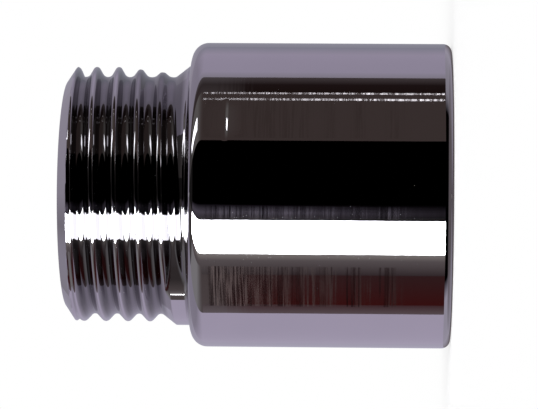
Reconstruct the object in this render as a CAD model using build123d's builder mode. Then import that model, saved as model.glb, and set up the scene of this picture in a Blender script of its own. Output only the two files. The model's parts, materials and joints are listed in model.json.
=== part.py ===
from build123d import *
import math
import os

# Pipe extension fitting, turned from one length of brass bar and chrome plated.
# It stands on its socket face at the origin, with its axis along +Z and the male thread at the top.

# Round body
body_diameter = 25.0
body_length = 21.2            # socket face to shoulder
foot_edge_radius = 0.7        # polished outer edge of the socket face

# Male spigot, sized for a 1/2 inch parallel pipe thread, kept plain at the crests
spigot_diameter = 20.955
spigot_length = 10.3          # shoulder to end face
lead_drop = 1.2               # how far the lead-in cone comes in from the crests
lead_length = 0.8             # the cone's length along the axis
neck_clearance = 0.27         # how far the plain neck stands outside the crests
neck_length = 1.3

# Shoulder between the body and the neck: tool corner, flat seat, then a full rounded edge
neck_corner_radius = 0.25
seat_width = 0.2

# Threaded socket, kept plain at the size it is bored to before threading
socket_diameter = 18.631
socket_depth = 15.0           # socket face to the end of the straight wall
socket_mouth_chamfer = 1.3
drill_point_angle = 118.0

# Hexagonal passage for the key that screws the fitting in
key_width = 12.0              # across flats
key_mouth_chamfer = 0.35      # beyond the hexagon's corners

body_radius = body_diameter / 2
spigot_radius = spigot_diameter / 2
neck_radius = spigot_radius + neck_clearance
neck_top = body_length + neck_length
overall_length = body_length + spigot_length
shoulder_radius = body_radius - neck_radius - neck_corner_radius - seat_width
socket_radius = socket_diameter / 2
drill_point_length = socket_radius / math.tan(math.radians(drill_point_angle / 2))
key_corner_radius = key_width / math.sqrt(3)
key_mouth_radius = key_corner_radius + key_mouth_chamfer

os.makedirs("parts", exist_ok=True)

with BuildPart() as extension_fitting:
    # Outside, as it leaves the lathe with square corners
    with BuildSketch(Plane.XZ):
        with BuildLine():
            Polyline(
                (0, 0),
                (body_radius, 0),
                (body_radius, body_length),
                (neck_radius, body_length),
                (neck_radius, neck_top),
                (spigot_radius, neck_top),
                (spigot_radius, overall_length - lead_length),
                (spigot_radius - lead_drop, overall_length),
                (0, overall_length),
                close=True,
            )
        make_face()
    revolve(axis=Axis.Z)

    # Turned edges, picked by height and then by radius
    ring_levels = extension_fitting.edges().filter_by(GeomType.CIRCLE).group_by(Axis.Z)
    foot_edge = ring_levels[0]
    neck_corner, shoulder_edge = ring_levels[1].sort_by(SortBy.RADIUS)
    fillet(foot_edge, foot_edge_radius)
    fillet(shoulder_edge, shoulder_radius)
    fillet(neck_corner, neck_corner_radius)

    # Socket with its mouth chamfer, and the cone that the drill leaves at its end
    with BuildSketch(Plane.XZ):
        with BuildLine():
            Polyline(
                (0, 0),
                (socket_radius + socket_mouth_chamfer, 0),
                (socket_radius, socket_mouth_chamfer),
                (socket_radius, socket_depth),
                (0, socket_depth + drill_point_length),
                close=True,
            )
        make_face()
    revolve(axis=Axis.Z, mode=Mode.SUBTRACT)

    # Key passage from the socket to the end face, with a conical mouth across its corners
    with BuildSketch(Plane.XY.offset(socket_depth)):
        RegularPolygon(radius=key_width / 2, side_count=6, major_radius=False)
    extrude(until=Until.LAST, mode=Mode.SUBTRACT)
    with BuildSketch(Plane.XZ):
        with BuildLine():
            Polyline(
                (0, overall_length),
                (key_mouth_radius, overall_length),
                (0, overall_length - key_mouth_radius),
                close=True,
            )
        make_face()
    revolve(axis=Axis.Z, mode=Mode.SUBTRACT)

extension_fitting.part.label = "extension_fitting"
export_step(extension_fitting.part, "parts/extension_fitting.step")
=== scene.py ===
import json
import math

import bmesh
import bpy
from mathutils import Matrix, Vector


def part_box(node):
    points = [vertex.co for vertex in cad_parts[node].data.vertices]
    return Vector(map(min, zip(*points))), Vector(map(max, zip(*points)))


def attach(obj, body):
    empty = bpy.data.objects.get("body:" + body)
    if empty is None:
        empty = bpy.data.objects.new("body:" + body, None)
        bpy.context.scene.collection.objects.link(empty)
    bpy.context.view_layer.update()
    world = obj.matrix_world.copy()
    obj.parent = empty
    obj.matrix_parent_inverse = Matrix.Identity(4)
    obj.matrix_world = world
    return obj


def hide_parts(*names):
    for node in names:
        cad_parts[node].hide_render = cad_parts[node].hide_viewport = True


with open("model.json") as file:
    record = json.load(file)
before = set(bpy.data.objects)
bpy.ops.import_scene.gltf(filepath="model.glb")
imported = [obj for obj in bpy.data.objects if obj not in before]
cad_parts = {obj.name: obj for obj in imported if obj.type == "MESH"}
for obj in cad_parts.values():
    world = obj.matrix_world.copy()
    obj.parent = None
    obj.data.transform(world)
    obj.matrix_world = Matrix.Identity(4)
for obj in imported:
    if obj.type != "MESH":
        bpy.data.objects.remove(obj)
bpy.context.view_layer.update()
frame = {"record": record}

# The fitting
# One piece turned from brass bar: a round body with a tapped socket in its foot, a rounded shoulder, a plain
# neck and a right-hand male pipe thread, with a hexagon broached through the middle for its key. It is
# polished and chrome plated.
mm = 0.001
ring_steps = 240                    # vertices round each ring, a multiple of six for the hexagon's corners
merge_distance = 0.002 * mm
high_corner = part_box("extension_fitting")[1]
mounts = {mount["name"]: mount for mount in frame["record"]["mounts"]}
body_radius = high_corner.x
overall_length = high_corner.z

# Half-inch pipe thread, with its crests and roots as the polishing and plating leave them
pitch = 1.814 * mm
crest_radius = mounts["male_thread"]["dims"]["r_mm"] * mm
crest_rounding = 0.25 * mm
root_rounding = 0.50 * mm
thread_rows = 28                    # rows of faces in one pitch


def groove_side(distance, rounding, slope):
    """Height of a groove's side above its root, that far along the axis from the middle of the groove."""
    if distance < rounding * math.sin(slope):
        return rounding - math.sqrt(rounding ** 2 - distance ** 2)
    return rounding * (1 - math.cos(slope)) + (distance - rounding * math.sin(slope)) * math.tan(slope)


def thread_depth(root, crest, slope):
    """Depth of a thread from the roundings of its root and crest and its flanks' slope from the axis."""
    rounded = root + crest
    straight = pitch / 2 - rounded * math.sin(slope)
    return rounded * (1 - math.cos(slope)) + straight * math.tan(slope)


def thread_height(along, root, crest, slope):
    """Height of the thread above its root at a place along the axis, from the middle of any groove."""
    distance = abs(along - pitch * round(along / pitch))
    if distance < pitch / 2 - crest * math.sin(slope):
        return groove_side(distance, root, slope)
    return thread_depth(root, crest, slope) - groove_side(pitch / 2 - distance, crest, slope)


def wound_sheet(lowest, turns, rows):
    """A plain sheet wound round the axis like the thread, one pitch to the turn, in rows along the helix."""
    sheet = bmesh.new()
    foot = sheet.verts.new((crest_radius, 0, lowest))
    head = sheet.verts.new((crest_radius, 0, lowest + pitch))
    bmesh.ops.subdivide_edges(sheet, edges=[sheet.edges.new((foot, head))], cuts=rows - 1)
    bmesh.ops.spin(
        sheet,
        geom=[*sheet.verts, *sheet.edges],
        cent=(0, 0, 0),
        axis=(0, 0, 1),
        dvec=(0, 0, pitch / ring_steps),
        angle=math.tau,
        steps=ring_steps,
    )
    first_turn = [*sheet.verts, *sheet.edges, *sheet.faces]
    for turn in range(1, turns):
        copied = bmesh.ops.duplicate(sheet, geom=first_turn)["geom"]
        lifted = [vert for vert in copied if isinstance(vert, bmesh.types.BMVert)]
        bmesh.ops.translate(sheet, vec=(0, 0, turn * pitch), verts=lifted)
    bmesh.ops.remove_doubles(sheet, verts=sheet.verts, dist=merge_distance)
    return sheet


def press_to_form(sheet, bottom, top, radius_at):
    """Trims a wound sheet between two heights and gives each vertex the form's radius at its place."""
    for vert in sheet.verts:
        angle = math.atan2(vert.co.y, vert.co.x)
        height = min(max(vert.co.z, bottom), top)
        radius = radius_at(angle, height)
        vert.co = (radius * math.cos(angle), radius * math.sin(angle), height)
    bmesh.ops.remove_doubles(sheet, verts=sheet.verts, dist=merge_distance)


def open_ring(mesh, height):
    """The open edges of the mesh at a height."""
    return [
        edge
        for edge in mesh.edges
        if edge.is_boundary and all(abs(vert.co.z - height) < merge_distance for vert in edge.verts)
    ]


def next_ring(mesh, ring, place):
    """Grows an open ring by one more; place gives new radius and height from the angle and old radius."""
    grown = bmesh.ops.extrude_edge_only(mesh, edges=ring)["geom"]
    for vert in grown:
        if isinstance(vert, bmesh.types.BMVert):
            angle = math.atan2(vert.co.y, vert.co.x)
            radius, height = place(angle, math.hypot(vert.co.x, vert.co.y))
            vert.co = (radius * math.cos(angle), radius * math.sin(angle), height)
    return [edge for edge in grown if isinstance(edge, bmesh.types.BMEdge) and edge.is_boundary]


def turned_outline(mesh, ring, outline):
    """Grows an open ring along a turned outline, a list of radius and height."""
    for point in outline:
        ring = next_ring(mesh, ring, lambda angle, radius: point)
    return ring


def arc(centre, radius, start, end, steps):
    """Points along an arc, after its first; angles in degrees, 0 straight out and 90 towards the thread."""
    turns = [math.radians(start + (end - start) * step / steps) for step in range(1, steps + 1)]
    return [(centre[0] + radius * math.cos(turn), centre[1] + radius * math.sin(turn)) for turn in turns]


# Male thread, from the neck's corner to the lead-in chamfer. Its last groove stops short where the die was
# backed off, and the die's lead leaves a long slope on the side of the neck.
first_groove = 22.815 * mm          # height of the last groove's middle on the +X side
mean_slope = math.radians(53.5)     # of the flanks, which are steeper and deeper on the +X side
slope_change = math.radians(6.5)
stop_angle = math.radians(-141)     # where the last groove stops, how soon its step drops, and by how much
stop_ramp = math.radians(3)
stop_step = 0.302 * mm
deepening = math.radians(24)        # the turn in which the groove then comes to full depth
runout_slope = math.radians(38)
worn_drop = 0.42 * mm               # torn crests are lower on the +X side, most of all next to the neck
worn_top = 27.0 * mm
worn_length = 3.3 * mm
male_turns = 7                      # turns of the sheet, from two pitches below the last groove
neck_clearance = 0.27 * mm          # how far the neck stands outside the crests
neck_radius = crest_radius + neck_clearance
neck_corner = 0.25 * mm
shoulder_height = 21.2 * mm
lead_drop = 1.2 * mm                # lead-in cone, which the grooves fade out before
lead_length = 0.8 * mm
fade_top = 30.75 * mm
fade_length = 0.55 * mm
end_edge = 0.15 * mm                # rounding of the end face's rim
end_radius = crest_radius - lead_drop
lead_angle = math.atan2(lead_drop, lead_length)
rim_inset = end_edge * math.tan((math.radians(90) - lead_angle) / 2)
rim_rise = end_edge * (1 - math.sin(lead_angle))


def eased(share):
    """A share held between 0 and 1, with a soft start and end."""
    held = min(max(share, 0), 1)
    return held * held * (3 - 2 * held)


def groove_depth(along, slope):
    """Depth below the crests at a place along the axis from the middle of the lowest groove."""
    full = thread_depth(root_rounding, crest_rounding, slope)
    if along < 0:
        return max(crest_radius - neck_radius, full - groove_side(-along, root_rounding, runout_slope))
    return full - thread_height(along, root_rounding, crest_rounding, slope)


def male_radius(angle, height):
    """Radius of the male thread, its run-out and the lead-in chamfer."""
    along = height - first_groove - pitch * angle / math.tau
    slope = mean_slope + slope_change * math.cos(angle)
    full = thread_depth(root_rounding, crest_rounding, slope)
    groove = groove_depth(along, slope)

    # At the stop the groove begins as a flat step and deepens; before it the next groove's run-out takes over
    past_stop = angle - stop_angle
    step = crest_radius - neck_radius + stop_step * min(max(past_stop / stop_ramp, 0), 1)
    left = 1 - min(max((past_stop - stop_ramp) / deepening, 0), 1)
    cut = eased(past_stop / (stop_ramp + deepening))
    blend = cut * groove + (1 - cut) * groove_depth(along - pitch, slope)
    depth = max(min(groove, full - (full - step) * left ** 2), blend)

    # Worn crests, then the lead-in, where the grooves fade out
    if along > 0:
        worn = worn_drop * max(math.cos(angle), 0) * min(max((worn_top - height) / worn_length, 0), 1)
        depth += worn * (1 - depth / full)
    if depth > 0:
        depth *= eased((fade_top - height) / fade_length)
    return min(crest_radius - depth, end_radius + (overall_length - height) * lead_drop / lead_length)


fitting_mesh = wound_sheet(first_groove - 2 * pitch, male_turns, thread_rows)
neck_bottom = shoulder_height + neck_corner
rim_bottom = overall_length - rim_rise
press_to_form(fitting_mesh, neck_bottom, rim_bottom, male_radius)

# Outside of the body: the tool's corner at the neck, the seat, the rounded shoulder, the wall and the foot
seat_width = 0.2 * mm
shoulder_rounding = body_radius - neck_radius - neck_corner - seat_width
foot_edge = 0.7 * mm
settle = 0.06 * mm                  # a ring this close to the end of a rounding keeps the next surface true
corner_steps = 6
shoulder_steps = 20
foot_steps = 10
wall_rings = 12
socket_radius = mounts["female_thread"]["dims"]["r_mm"] * mm
mouth_chamfer = 1.3 * mm
socket_mouth = socket_radius + mouth_chamfer
body_ring = open_ring(fitting_mesh, neck_bottom)
for step in range(corner_steps):
    before, after = (math.radians(90 * (step + part) / corner_steps) for part in (0, 1))
    spread = neck_corner * (math.cos(before) - math.cos(after))
    level = neck_bottom - neck_corner * math.sin(after)
    body_ring = next_ring(fitting_mesh, body_ring, lambda angle, radius: (radius + spread, level))
shoulder_centre = (body_radius - shoulder_rounding, shoulder_height - shoulder_rounding)
wall_top = shoulder_centre[1] - settle
wall_bottom = foot_edge + settle
wall_levels = [wall_top + (wall_bottom - wall_top) * level / wall_rings for level in range(wall_rings + 1)]
scratch_height = 18.05 * mm         # a short scratch round the wall: rise and depth of half its outline
scratch_side = [(0.26 * mm, 0), (0.22 * mm, 0.004 * mm), (0.17 * mm, 0.02 * mm), (0.02 * mm, 0.08 * mm)]
scratch_middle = math.radians(-61.5)
scratch_reach = math.radians(8)
scratch_room = 0.5 * mm             # the wall's other rings stay this far from its middle
body_outline = [(shoulder_centre[0] - settle, shoulder_height), (shoulder_centre[0], shoulder_height)]
body_outline += arc(shoulder_centre, shoulder_rounding, 90, 0, shoulder_steps)
body_outline += [(body_radius, level) for level in wall_levels if level > scratch_height + scratch_room]
body_ring = turned_outline(fitting_mesh, body_ring, body_outline)
for rise, depth in scratch_side + [(-rise, depth) for rise, depth in reversed(scratch_side)]:
    body_ring = next_ring(
        fitting_mesh,
        body_ring,
        lambda angle, radius: (
            body_radius - depth * eased(2 - 2 * abs(angle - scratch_middle) / scratch_reach),
            scratch_height + rise,
        ),
    )
foot_outline = [(body_radius, level) for level in wall_levels if level < scratch_height - scratch_room]
foot_outline += [(body_radius, foot_edge)]
foot_outline += arc((body_radius - foot_edge, foot_edge), foot_edge, 0, -90, foot_steps)
foot_outline += [(body_radius - foot_edge - settle, 0), (socket_mouth, 0)]
turned_outline(fitting_mesh, body_ring, foot_outline)

# End face and hexagonal passage, down through the drill's cone to the plain end of the socket
key_flat = 6.0 * mm                 # from the axis to each flat
key_chamfer = 0.35 * mm             # beyond the hexagon's corners
half_side = math.radians(30)        # the turn from the middle of a flat to its corner
key_mouth = key_flat / math.cos(half_side) + key_chamfer
socket_depth = 15.0 * mm
drill_point = math.radians(118)
drill_slope = math.tan(drill_point / 2)
tap_reach = 12.9 * mm
rim_steps = 4


def key_radius(angle):
    """Radius of the hexagon, whose corners lie on the X axis and every 60 degrees from there."""
    return key_flat / math.cos(angle % (2 * half_side) - half_side)


rim_centre = (end_radius - rim_inset, overall_length - end_edge)
end_outline = arc(rim_centre, end_edge, math.degrees(lead_angle), 90, rim_steps)
end_outline += [(rim_centre[0] - settle, overall_length), (key_mouth, overall_length)]
end_ring = turned_outline(fitting_mesh, open_ring(fitting_mesh, rim_bottom), end_outline)
end_ring = next_ring(
    fitting_mesh,
    end_ring,
    lambda angle, radius: (key_radius(angle), overall_length - key_mouth + key_radius(angle)),
)
end_ring = next_ring(
    fitting_mesh,
    end_ring,
    lambda angle, radius: (
        key_radius(angle),
        socket_depth + (socket_radius - key_radius(angle)) / drill_slope,
    ),
)
turned_outline(fitting_mesh, end_ring, [(socket_radius, socket_depth), (socket_radius, tap_reach)])

# Female thread in the socket, which the tap's lead leaves shallow at its inner end
tap_rounding = 0.25 * mm
tap_slope = math.radians(62.5)
full_thread = 10.6 * mm
tap_lead = 2.0 * mm
socket_rows = 16                    # rows of faces in one pitch, and where the sheet starts and its turns
socket_start = -1.2 * pitch
socket_turns = 10


def female_radius(angle, height):
    """Radius of the female thread and of the chamfer at the socket's mouth."""
    share = min(max((full_thread + tap_lead - height) / tap_lead, 0), 1)
    groove = thread_height(height - pitch * angle / math.tau, tap_rounding, tap_rounding, tap_slope)
    return max(socket_radius + share * groove, socket_mouth - height)


socket_mesh = wound_sheet(socket_start, socket_turns, socket_rows)
press_to_form(socket_mesh, 0, tap_reach, female_radius)
fitting_data = bpy.data.meshes.new("threaded_fitting")
socket_mesh.to_mesh(fitting_data)
socket_mesh.free()
fitting_mesh.from_mesh(fitting_data)
bmesh.ops.remove_doubles(fitting_mesh, verts=fitting_mesh.verts, dist=merge_distance)
bmesh.ops.recalc_face_normals(fitting_mesh, faces=fitting_mesh.faces)

# Soft shading, with hard lines only at real corners; the faces that look towards the axis are the inside
hard_angle = math.radians(38)
inward = -0.01 * mm                 # a face that leans back to the axis by more than this is inside
for face in fitting_mesh.faces:
    centre = face.calc_center_median()
    lean = centre.x * face.normal.x + centre.y * face.normal.y
    face.smooth = True
    face.material_index = 1 if lean < inward else 0
for edge in fitting_mesh.edges:
    edge.smooth = edge.calc_face_angle(0) < hard_angle

fitting = bpy.data.objects.new("threaded_fitting", fitting_data)
fitting_mesh.to_mesh(fitting.data)
fitting_mesh.free()
bpy.context.scene.collection.objects.link(fitting)


def add_node(tree, kind, **inputs):
    """A new node with some of its inputs set, by names in which _ stands for a space."""
    node = tree.nodes.new(kind)
    for name, value in inputs.items():
        node.inputs[name.replace("_", " ")].default_value = value
    return node


# Turning marks: fine rings that the lathe and the belt leave, with a slow unevenness under the plating
ring_stretch = (60, 60, 1500)       # waves in a metre, across the axis and along it
slow_waves = 260.0
noise_range = (0.3, 0.7)            # where most of a noise's values lie
turning_marks = bpy.data.node_groups.new("turning_marks", "ShaderNodeTree")
turning_marks.interface.new_socket("Position", in_out="INPUT", socket_type="NodeSocketVector")
turning_marks.interface.new_socket("Rings", in_out="OUTPUT", socket_type="NodeSocketFloat")
turning_marks.interface.new_socket("Unevenness", in_out="OUTPUT", socket_type="NodeSocketFloat")
group_in = turning_marks.nodes.new("NodeGroupInput")
group_out = turning_marks.nodes.new("NodeGroupOutput")
stretch = add_node(turning_marks, "ShaderNodeMapping", Scale=ring_stretch)
ring_noise = add_node(turning_marks, "ShaderNodeTexNoise", Scale=1.0, Detail=2.0, Roughness=0.5)
slow_noise = add_node(turning_marks, "ShaderNodeTexNoise", Scale=slow_waves, Detail=1.0, Roughness=0.5)
turning_marks.links.new(group_in.outputs["Position"], stretch.inputs["Vector"])
turning_marks.links.new(stretch.outputs["Vector"], ring_noise.inputs["Vector"])
turning_marks.links.new(group_in.outputs["Position"], slow_noise.inputs["Vector"])
turning_marks.links.new(ring_noise.outputs["Fac"], group_out.inputs["Rings"])
turning_marks.links.new(slow_noise.outputs["Fac"], group_out.inputs["Unevenness"])


def plated_metal(name, colours, roughness, ring_depth, wave_depth):
    """Metal with turning marks: two colours it drifts between, its range of roughness, the marks' depths."""
    metal = bpy.data.materials.new(name)
    metal.use_nodes = True
    tree = metal.node_tree
    shader = tree.nodes["Principled BSDF"]
    shader.inputs["Metallic"].default_value = 1.0
    place = tree.nodes.new("ShaderNodeTexCoord")
    marks = tree.nodes.new("ShaderNodeGroup")
    marks.node_tree = turning_marks
    tree.links.new(place.outputs["Object"], marks.inputs["Position"])
    tint = tree.nodes.new("ShaderNodeMix")
    tint.data_type = "RGBA"
    tint.inputs["A"].default_value = (*colours[0], 1)
    tint.inputs["B"].default_value = (*colours[1], 1)
    tree.links.new(marks.outputs["Unevenness"], tint.inputs["Factor"])
    tree.links.new(tint.outputs["Result"], shader.inputs["Base Color"])
    gloss = add_node(tree, "ShaderNodeMapRange", From_Min=noise_range[0], From_Max=noise_range[1])
    gloss.inputs["To Min"].default_value = roughness[0]
    gloss.inputs["To Max"].default_value = roughness[1]
    tree.links.new(marks.outputs["Rings"], gloss.inputs["Value"])
    tree.links.new(gloss.outputs["Result"], shader.inputs["Roughness"])
    waves = add_node(tree, "ShaderNodeBump", Strength=1.0, Distance=wave_depth)
    rings = add_node(tree, "ShaderNodeBump", Strength=1.0, Distance=ring_depth)
    tree.links.new(marks.outputs["Unevenness"], waves.inputs["Height"])
    tree.links.new(marks.outputs["Rings"], rings.inputs["Height"])
    tree.links.new(waves.outputs["Normal"], rings.inputs["Normal"])
    tree.links.new(rings.outputs["Normal"], shader.inputs["Normal"])
    return metal


chrome_greys = [(0.57, 0.555, 0.575), (0.54, 0.53, 0.55)]
brass_browns = [(0.50, 0.42, 0.30), (0.36, 0.29, 0.19)]
chrome = plated_metal("bright_chrome", chrome_greys, (0.015, 0.035), 0.0016 * mm, 0.004 * mm)
bore_metal = plated_metal("bore_brass", brass_browns, (0.25, 0.4), 0.004 * mm, 0.004 * mm)

# Painted shade: the base colour darkens to grey towards the bottom of the male thread's grooves
shade_start = 0.03 * mm              # depths below the crests between which the painted shade comes in
shade_full = 0.3 * mm
groove_shade_grey = (0.23, 0.225, 0.235)
lead_fade = 0.3 * mm
chrome_tree = chrome.node_tree
chrome_place = chrome_tree.nodes.new("ShaderNodeTexCoord")
across = chrome_tree.nodes.new("ShaderNodeVectorMath")
across.operation = "MULTIPLY"
across.inputs[1].default_value = (1, 1, 0)
from_axis = chrome_tree.nodes.new("ShaderNodeVectorMath")
from_axis.operation = "LENGTH"
deep = add_node(
    chrome_tree,
    "ShaderNodeMapRange",
    From_Min=crest_radius - shade_start,
    From_Max=crest_radius - shade_full,
)
along_axis = chrome_tree.nodes.new("ShaderNodeSeparateXYZ")
below_lead = add_node(chrome_tree, "ShaderNodeMapRange", From_Min=fade_top, From_Max=fade_top - lead_fade)
groove_shade_share = chrome_tree.nodes.new("ShaderNodeMath")
groove_shade_share.operation = "MULTIPLY"
# Painted shade: this mix turns the chrome's base colour grey towards the groove bottoms, by depth below the
# crests
groove_shade_mix = chrome_tree.nodes.new("ShaderNodeMix")
groove_shade_mix.data_type = "RGBA"
groove_shade_mix.inputs["B"].default_value = (*groove_shade_grey, 1)
chrome_shader = chrome_tree.nodes["Principled BSDF"]
chrome_tree.links.new(chrome_shader.inputs["Base Color"].links[0].from_socket, groove_shade_mix.inputs["A"])
chrome_tree.links.new(chrome_place.outputs["Object"], across.inputs[0])
chrome_tree.links.new(across.outputs["Vector"], from_axis.inputs[0])
chrome_tree.links.new(from_axis.outputs["Value"], deep.inputs["Value"])
chrome_tree.links.new(chrome_place.outputs["Object"], along_axis.inputs[0])
chrome_tree.links.new(along_axis.outputs["Z"], below_lead.inputs["Value"])
chrome_tree.links.new(deep.outputs["Result"], groove_shade_share.inputs[0])
chrome_tree.links.new(below_lead.outputs["Result"], groove_shade_share.inputs[1])
chrome_tree.links.new(groove_shade_share.outputs[0], groove_shade_mix.inputs["Factor"])
chrome_tree.links.new(groove_shade_mix.outputs["Result"], chrome_shader.inputs["Base Color"])

fitting.data.materials.append(chrome)
fitting.data.materials.append(bore_metal)
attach(fitting, "root")
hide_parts("extension_fitting")

# Floor and surround
# A plain white floor that the fitting stands on, which keeps its soft shadow, in a plain white surround. The
# floor glows as much as brings it up to the surround's white where nothing shades it, and only to the eye.
floor_size = 3.0
floor_gap = 0.02 * mm
floor_colour = 0.25
sun_share = 0.35                    # the sun's light on the floor, beside 1 for the surround's
sun_tilt = math.radians(30)
sun_turn = math.radians(12)
sun_width = math.radians(25)
floor_mesh = bmesh.new()
bmesh.ops.create_grid(floor_mesh, x_segments=1, y_segments=1, size=floor_size)
bmesh.ops.translate(floor_mesh, vec=(0, 0, -floor_gap), verts=floor_mesh.verts)
floor = bpy.data.objects.new("floor", bpy.data.meshes.new("floor"))
floor_mesh.to_mesh(floor.data)
floor_mesh.free()
bpy.context.scene.collection.objects.link(floor)
floor_paint = bpy.data.materials.new("white_floor")
floor_paint.use_nodes = True
floor_tree = floor_paint.node_tree
floor_tree.nodes.clear()
floor_grey = (floor_colour, floor_colour, floor_colour, 1)
matt = add_node(floor_tree, "ShaderNodeBsdfDiffuse", Color=floor_grey)
glow = add_node(floor_tree, "ShaderNodeEmission", Color=(1, 1, 1, 1))
rays = floor_tree.nodes.new("ShaderNodeLightPath")
seen = floor_tree.nodes.new("ShaderNodeMath")
seen.operation = "MAXIMUM"
mirrored = floor_tree.nodes.new("ShaderNodeMath")
mirrored.operation = "MAXIMUM"
glow_share = floor_tree.nodes.new("ShaderNodeMath")
glow_share.operation = "MULTIPLY"
glow_share.inputs[1].default_value = 1 - floor_colour * (1 + sun_share)
both = floor_tree.nodes.new("ShaderNodeAddShader")
surface = floor_tree.nodes.new("ShaderNodeOutputMaterial")
floor_tree.links.new(rays.outputs["Is Glossy Ray"], mirrored.inputs[0])
floor_tree.links.new(rays.outputs["Is Transmission Ray"], mirrored.inputs[1])
floor_tree.links.new(rays.outputs["Is Camera Ray"], seen.inputs[0])
floor_tree.links.new(mirrored.outputs[0], seen.inputs[1])
floor_tree.links.new(seen.outputs[0], glow_share.inputs[0])
floor_tree.links.new(glow_share.outputs[0], glow.inputs["Strength"])
floor_tree.links.new(matt.outputs[0], both.inputs[0])
floor_tree.links.new(glow.outputs[0], both.inputs[1])
floor_tree.links.new(both.outputs[0], surface.inputs["Surface"])
floor.data.materials.append(floor_paint)
floor.visible_glossy = False        # the fitting mirrors the cards all the way down to its foot

surround = bpy.data.worlds.new("white_surround")
surround.use_nodes = True
surround.node_tree.nodes["Background"].inputs["Color"].default_value = (1, 1, 1, 1)
surround.node_tree.nodes["Background"].inputs["Strength"].default_value = 1.0
bpy.context.scene.world = surround

sun_light = bpy.data.lights.new("soft_sun", "SUN")
sun_light.energy = sun_share * math.pi / math.cos(sun_tilt)
sun_light.angle = sun_width
sun = bpy.data.objects.new("soft_sun", sun_light)
sun.matrix_world = Matrix.Rotation(sun_turn, 4, "Z") @ Matrix.Rotation(sun_tilt, 4, "X")
sun.visible_glossy = False
bpy.context.scene.collection.objects.link(sun)

# Cards
# Chrome shows what stands round it, so a round of cloths and papers hangs at a distance, seen only in
# reflections: grey paper behind, brown and black cloth in front, and one tall white window beside the camera.
card_distance = 3.0
front_distance = 0.95 * card_distance
nearest_distance = 0.9 * card_distance
card_step = 2.0                     # degrees of the round in one face
turn_slack = 1e-3                   # degrees, so that a card's first side is never taken for a full turn
cloth_edge = 60                     # elevations, in degrees: the ends of the cloths, and almost straight up
pole = 89
curl_start = 8                      # elevations between which the paper curls away
curl_end = 28
glow_name = "glow"
card_mesh = bmesh.new()
card_glow = card_mesh.verts.layers.float_color.new(glow_name)


def hang(bearings, elevations, first, last, upper_first=None, upper_last=None, distance=card_distance):
    """Hangs a card between two bearings and two elevations in degrees, with the light at its two sides.
    Bearings run from the camera, 0, towards +X. A card that changes with height has other light along its
    top."""
    start, end = bearings
    older = len(card_mesh.verts)
    side = math.radians(start - 90)
    ends = []
    for elevation in elevations:
        height = distance * math.tan(math.radians(elevation))
        ends.append(card_mesh.verts.new((distance * math.cos(side), distance * math.sin(side), height)))
    edge = card_mesh.edges.new(ends)
    faces = max(1, round((end - start) / card_step))
    bmesh.ops.spin(
        card_mesh,
        geom=[*ends, edge],
        cent=(0, 0, 0),
        axis=(0, 0, 1),
        angle=math.radians(end - start),
        steps=faces,
    )
    card_mesh.verts.ensure_lookup_table()
    top = ends[1].co.z
    for vert in card_mesh.verts[older:]:
        turned = math.degrees(math.atan2(vert.co.y, vert.co.x)) + 90 - start
        share = ((turned + turn_slack) % 360 - turn_slack) / (end - start)
        upper = abs(vert.co.z - top) < merge_distance and upper_first is not None
        left, right = (upper_first, upper_last) if upper else (first, last)
        vert[card_glow] = (*(a + (b - a) * share for a, b in zip(left, right)), 1)


def drape(bearings, below, above, change=(2.6, 3.3)):
    """Hangs a cloth with one pair of side colours below a change of elevation and another pair above it."""
    hang(bearings, (-cloth_edge, change[0]), *below)
    hang(bearings, change, *below, *above)
    hang(bearings, (change[1], cloth_edge), *above)


def curl(bearings, first, last):
    """Hangs paper that curls away into the dusk above and below."""
    hang(bearings, (-curl_start, curl_start), first, last)
    hang(bearings, (curl_start, curl_end), first, last, dusk, dusk)
    hang(bearings, (-curl_end, -curl_start), dusk, dusk, first, last)
    hang(bearings, (curl_end, pole), dusk, dusk)
    hang(bearings, (-pole, -curl_end), dusk, dusk)


black = (0.0, 0.0, 0.0)
dusk = (0.34, 0.31, 0.39)
dim_top = (0.07, 0.063, 0.063)
dim_bottom = (0.15, 0.13, 0.14)
dim_wall = (0.066, 0.049, 0.046)
window_light = (18.0, 18.4, 18.8)
lamp_light = (4.0, 4.0, 4.2)

# Paper behind
pale_grey = (0.41, 0.38, 0.46)
mid_grey = (0.38, 0.35, 0.42)
deep_grey = (0.27, 0.25, 0.29)
lilac = (0.48, 0.45, 0.56)
paper_foot = -40
paper_top = 30
middle_paper = [                    # bearing, light where the curl starts below and light at the top
    (150, (0.31, 0.31, 0.375), pale_grey),
    (172, (0.28, 0.285, 0.34), pale_grey),
    (188, (0.48, 0.46, 0.58), (0.33, 0.31, 0.37)),
    (210, (0.53, 0.49, 0.62), lilac),
]
upper_paper = [(150, pale_grey), (180, mid_grey), (195, deep_grey), (210, lilac)]
curl((99, 105), (0.36, 0.33, 0.40), (0.44, 0.40, 0.51))
curl((105, 132), (0.455, 0.41, 0.53), (0.46, 0.41, 0.535))
curl((132, 150), (0.46, 0.41, 0.53), (0.29, 0.29, 0.36))
for (start, low, high), (end, next_low, next_high) in zip(middle_paper, middle_paper[1:]):
    hang((start, end), (paper_foot, -curl_start), dim_bottom, dim_bottom, low, next_low)
    hang((start, end), (-curl_start, paper_top), low, next_low, high, next_high)
for (start, first), (end, last) in zip(upper_paper, upper_paper[1:]):
    hang((start, end), (paper_top, pole), first, last)
hang((150, 210), (-pole, paper_foot), dim_bottom, dim_bottom)
curl((210, 260), (0.54, 0.49, 0.63), (0.57, 0.51, 0.66))

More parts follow.
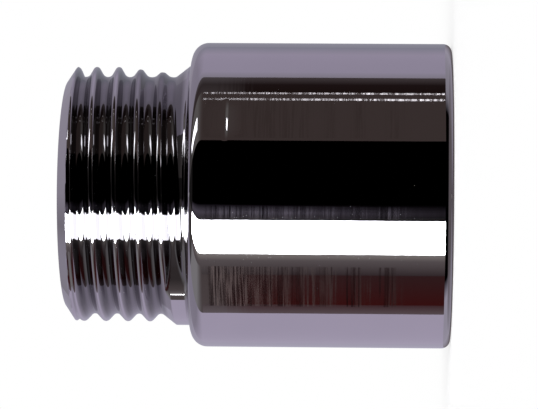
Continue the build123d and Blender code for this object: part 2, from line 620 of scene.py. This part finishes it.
# Cloths in front, with the window between them
near_black = (0.015, 0.014, 0.014)
purple_low = (0.02, 0.017, 0.022)
purple_high = (0.10, 0.088, 0.115)
grey_edge = (0.33, 0.30, 0.28)
grey_cloth = (0.15, 0.127, 0.13)
long_change = (-1.5, 3.5)
for top_or_bottom in ((cloth_edge, pole), (-pole, -cloth_edge)):
    hang((-100, -19), top_or_bottom, dim_top, dim_top)
    hang((-19, 41), top_or_bottom, near_black, near_black)
    hang((41, 99), top_or_bottom, dim_top, dim_top)
drape((91, 99), [(0.02, 0.012, 0.012), (0.085, 0.068, 0.07)], [(0.045, 0.035, 0.035), (0.105, 0.09, 0.095)])
drape((83, 91), [(0.016, 0.009, 0.008), (0.019, 0.011, 0.011)], [(0.06, 0.047, 0.047), (0.045, 0.035, 0.035)])
drape((41, 83), [dim_wall, dim_wall], [dim_wall, dim_wall])
drape((-7, 41), [black, black], [black, black])
drape((-13, -7), [purple_low, black], [purple_high, black], long_change)
drape((-19, -13), [(0.012, 0.011, 0.011), purple_low], [(0.04, 0.037, 0.037), purple_high], long_change)
hang((-44.5, -19), (-cloth_edge, cloth_edge), window_light, window_light)
drape((-50, -44.5), [grey_cloth, grey_edge], [grey_cloth, grey_edge])
drape((-62, -50), [(0.052, 0.036, 0.039), grey_cloth], [(0.08, 0.066, 0.068), grey_cloth])
drape((-90, -62), [(0.062, 0.009, 0.009), (0.047, 0.019, 0.020)], [(0.115, 0.092, 0.092), (0.10, 0.08, 0.08)])
drape((-100, -90), [(0.16, 0.12, 0.13), (0.075, 0.032, 0.037)], [(0.18, 0.15, 0.16), (0.11, 0.085, 0.09)])
veil_foot = 4
veils = [                           # bearings, light at the foot and light above the curl
    ((-100, -55), (0.11, 0.09, 0.09), (0.29, 0.28, 0.29)),
    ((41, 83), dim_wall, (0.15, 0.14, 0.135)),
]
for bearings, low, high in veils:
    hang(bearings, (veil_foot, curl_end), low, low, high, high, distance=front_distance)
    hang(bearings, (curl_end, cloth_edge), high, high, distance=front_distance)

# Lamp, and two broken lines of small lights, which hang in front of the cloths
spark_count = 22
spark_foot = -2.5                   # elevation of the lowest, and the step to the next
spark_step = 0.29
spark_light = (1.0, 0.97, 1.0)
hang((53, 65), (30, 64), lamp_light, lamp_light, distance=nearest_distance)
for spark in range(spark_count):
    low = spark_foot + spark_step * spark
    light = tuple(part * (3.2 - 0.1 * spark) for part in spark_light)
    hang((75.2, 77.0), (low, low + 0.09), light, light, distance=nearest_distance)
    hang((81.2, 82.8), (low + 0.1, low + 0.18), light, light, distance=nearest_distance)

# Light and dark streaks across the cloths, fewer towards the foot, which show as marks across the wall
streak_feet = [3.3, 3.05, 2.8, 2.55, 2.25, 1.9, 1.5, 1.0, 0.4, -0.3]
brown_streak = (0.26, 0.20, 0.19)
purple_streak = (0.24, 0.215, 0.27)
for streak, low in enumerate(streak_feet):
    light = tuple(part * (1 - 0.08 * streak) for part in brown_streak)
    streaks = [                     # bearings, foot and top, light at the two sides
        ((-92, -55), (0, 0.05), light, light),
        ((-92, -55), (0.12, 0.21), (0.012, 0.004, 0.004), (0.02, 0.01, 0.01)),
        ((-18, -13), (0, 0.06), (0.14, 0.13, 0.14), purple_streak),
        ((-13, -8), (0, 0.06), purple_streak, (0.02, 0.018, 0.024)),
        ((-18, -8), (0.1, 0.2), (0.005, 0.004, 0.005), black),
        ((43, 74), (0, 0.1), (0.05, 0.036, 0.033), (0.055, 0.04, 0.037)),
    ]
    for bearings, (foot, top), first, last in streaks:
        hang(bearings, (low + foot, low + top), first, last, distance=nearest_distance)

# Ring below the foot, close to the fitting: black in front, violet at the sides and dim behind
low_distance = 20.0 * mm
ring_top = -1.43                    # elevations of its two edges, and of the foot of what hangs below it
ring_edge = -18.3
ring_foot = -80
low_violet = (0.34, 0.32, 0.37)
foot_violet = (0.46, 0.43, 0.52)
ring_lights = [                     # bearing and light
    (-46, black),
    (46, black),
    (60, low_violet),
    (106, foot_violet),
    (130, dim_bottom),
    (225, dim_bottom),
    (249, foot_violet),
    (300, foot_violet),
    (314, black),
]
under_ring = [                      # bearings, and light at the two sides
    ((-46, 46), dim_bottom, dim_bottom),
    ((46, 118), dim_bottom, foot_violet),
    ((118, 237), dim_bottom, dim_bottom),
    ((237, 314), foot_violet, dim_bottom),
]
for (start, first), (end, last) in zip(ring_lights, ring_lights[1:]):
    hang((start, end), (ring_edge, ring_top), first, last, distance=low_distance)
for bearings, first, last in under_ring:
    hang(bearings, (ring_foot, ring_edge), first, last, distance=low_distance)

cards = bpy.data.objects.new("reflected_cards", bpy.data.meshes.new("reflected_cards"))
card_mesh.to_mesh(cards.data)
card_mesh.free()
bpy.context.scene.collection.objects.link(cards)
card_light = bpy.data.materials.new("card_light")
card_light.use_nodes = True
card_tree = card_light.node_tree
card_tree.nodes.clear()
card_colour = card_tree.nodes.new("ShaderNodeAttribute")
card_colour.attribute_name = glow_name
card_glows = add_node(card_tree, "ShaderNodeEmission", Strength=1.0)
card_surface = card_tree.nodes.new("ShaderNodeOutputMaterial")
card_tree.links.new(card_colour.outputs["Color"], card_glows.inputs["Color"])
card_tree.links.new(card_glows.outputs[0], card_surface.inputs["Surface"])
card_light.cycles.emission_sampling = "NONE"
cards.data.materials.append(card_light)
cards.visible_camera = False
cards.visible_diffuse = False
cards.visible_shadow = False

# Camera
# A long lens a quarter of a metre away, turned on its side so that the standing fitting lies across the
# picture with its thread to the left, and set a little towards the foot.
camera_place = (-0.774 * mm, -247.0 * mm, 6.3 * mm)
camera_tilt = math.radians(2.0)
camera_roll = math.radians(0.4)
camera_data = bpy.data.cameras.new("camera")
camera_data.lens = 200.7
camera_data.sensor_width = 36.0
camera = bpy.data.objects.new("camera", camera_data)
lying = Matrix((
    (0, 1, 0, camera_place[0]),
    (math.sin(camera_tilt), 0, -math.cos(camera_tilt), camera_place[1]),
    (-math.cos(camera_tilt), 0, -math.sin(camera_tilt), camera_place[2]),
    (0, 0, 0, 1),
))
camera.matrix_world = lying @ Matrix.Rotation(camera_roll, 4, "Z")
bpy.context.scene.collection.objects.link(camera)
bpy.context.scene.camera = camera
bpy.context.scene.view_settings.view_transform = "Standard"
